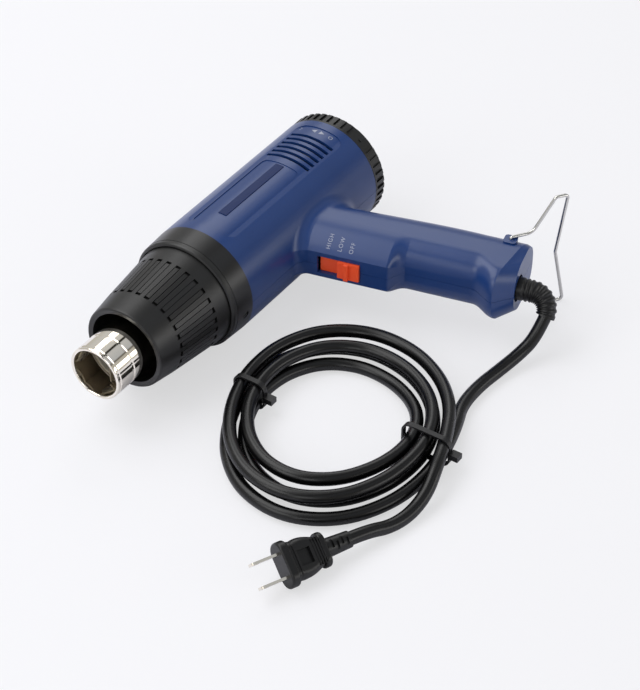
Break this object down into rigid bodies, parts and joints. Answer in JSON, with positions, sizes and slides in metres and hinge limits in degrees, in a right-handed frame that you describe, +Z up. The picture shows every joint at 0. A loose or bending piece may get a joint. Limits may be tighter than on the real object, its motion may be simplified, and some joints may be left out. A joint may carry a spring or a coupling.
{
  "type": "embossing heat tool",
  "caption": "Pistol-shaped embossing heat gun lying on its side, with chrome air outlet, ribbed heat guard, slide switch, air dial, wire hanger and coiled cord with plug.",
  "frame": {"origin": "on the surface under the middle of the tool without its free cord", "axes": "+X along the barrel from the hot-air outlet to the air dial, -Y down the handle, +Z up, across the tool's thickness"},
  "size_m": [0.2985, 0.222, 0.0775],
  "materials": {
    "housing": "semi-gloss moulded blue plastic, fine grain",
    "stripe": "smooth dark blue inlay",
    "black_nylon": "satin black moulded plastic",
    "guard_nylon": "satin black glass-filled plastic",
    "dial_nylon": "satin black moulded plastic",
    "dark_screw": "black oxide steel",
    "outlet_chrome": "polished, faint warm tint",
    "mica": "mica and ceramic fibre",
    "heating_wire": "oxidised resistance wire",
    "steel": "zinc-plated steel",
    "duct_plastic": "heat-resistant moulded plastic",
    "brass": "plain brass",
    "magnet": "sintered ferrite",
    "board": "printed board",
    "components": "moulded electronic parts",
    "switch_red": "semi-gloss orange-red plastic",
    "bail_steel": "bright plated spring steel wire",
    "cord_rubber": "satin black cord jacket",
    "lead_insulation": "silicone sleeve",
    "tie_black": "black flexible tie",
    "plug_rubber": "satin black moulded plug",
    "blade_metal": "nickel-plated brass blades"
  },
  "bodies": {
    "tool": {"housing_upper": "housing", "housing_lower": "housing", "badge_strip": "stripe", "nose_collar": "black_nylon", "collar_screws": "dark_screw", "heat_guard": "guard_nylon", "nozzle_tube": "outlet_chrome", "insulating_sleeve": "mica", "heater_former": "mica", "heating_coil": "heating_wire", "heater_flange": "mica", "thermal_cutoff": "steel", "fan_duct": "duct_plastic", "motor_can": "steel", "motor_end_cap": "black_nylon", "motor_bushes": "brass", "motor_magnets": "magnet", "rectifier_board": "board", "rectifier_parts": "components", "inlet_grille": "black_nylon", "dial_screw": "steel", "switch_body": "black_nylon", "switch_terminals": "brass", "housing_screws": "steel", "strain_relief": "cord_rubber", "cord_inner_end": "cord_rubber", "cord_clamp": "black_nylon", "clamp_screws": "steel", "inner_leads": "lead_insulation", "cord_lead": "cord_rubber", "cord_coil": "cord_rubber", "cord_tail": "cord_rubber", "tie_right": "tie_black", "tie_left": "tie_black", "plug_body": "plug_rubber", "plug_blades": "blade_metal", "plug_strain_relief": "plug_rubber"},
    "slider": {"switch_slider": "switch_red", "switch_contacts": "brass"},
    "dial": {"air_dial": "dial_nylon", "shutter_disc": "black_nylon"},
    "bail": {"bail_wire": "bail_steel"},
    "rotor": {"motor_shaft": "steel", "rotor_core": "steel", "impeller": "duct_plastic"}
  },
  "joints": [
    {"name": "switch_slide", "type": "slide", "parent": "tool", "child": "slider", "axis": [-0.2334, 0.9724, 0], "range_m": [0, 0.012]},
    {"name": "air_dial_turn", "type": "hinge", "parent": "tool", "child": "dial", "pos_m": [0.10951, 0.06172, 0.0353], "axis": [1, 0, 0], "range_deg": [-30, 30]},
    {"name": "bail_pivot", "type": "hinge", "parent": "tool", "child": "bail", "pos_m": [0.08982, -0.07472, 0.0353], "axis": [0, 0, 1], "range_deg": [-40, 115]},
    {"name": "fan_spin", "type": "hinge", "parent": "tool", "child": "rotor", "pos_m": [0.00951, 0.06172, 0.0353], "axis": [1, 0, 0], "continuous": true}
  ]
}
